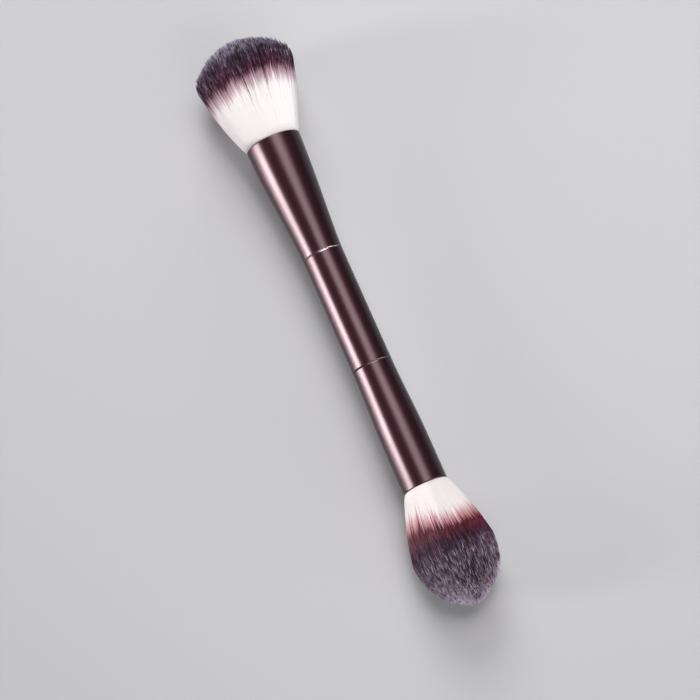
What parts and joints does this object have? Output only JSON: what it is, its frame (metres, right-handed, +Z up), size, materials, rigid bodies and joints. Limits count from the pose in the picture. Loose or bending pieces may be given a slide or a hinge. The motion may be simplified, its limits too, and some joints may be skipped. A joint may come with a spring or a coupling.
{
  "type": "double ended makeup brush",
  "caption": "Cosmetic brush with a round powder head at one end, a slimmer tapered head at the other and a slim metal handle between them, lying on its side.",
  "frame": {"origin": "middle of the brush's footprint, on the surface that it lies on", "axes": "+X runs along the brush towards the powder head, +Y across it, +Z up; the axis rises about a degree to the powder head, because that head is fatter"},
  "size_m": [0.1774, 0.0288, 0.0277],
  "materials": {
    "powder_tuft": "soft synthetic bristles, dip dyed from white at the root through wine red to grey lilac tips",
    "tapered_tuft": "soft synthetic bristles, dip dyed from white at the root through wine red to grey lilac tips",
    "ferrule_metal": "dark aubergine anodised, satin gloss",
    "sleeve_metal": "dark aubergine anodised, satin gloss, bare",
    "dowel_wood": "turned birch, unfinished",
    "resin": "set amber resin",
    "thread": "wound polyester thread"
  },
  "bodies": {
    "root": {"powder_bristles": "powder_tuft", "powder_binding": "thread", "powder_glue": "resin", "powder_ferrule": "ferrule_metal", "centre_sleeve": "sleeve_metal", "core_dowel": "dowel_wood", "tapered_ferrule": "ferrule_metal", "tapered_glue": "resin", "tapered_binding": "thread", "tapered_bristles": "tapered_tuft"}
  },
  "joints": []
}
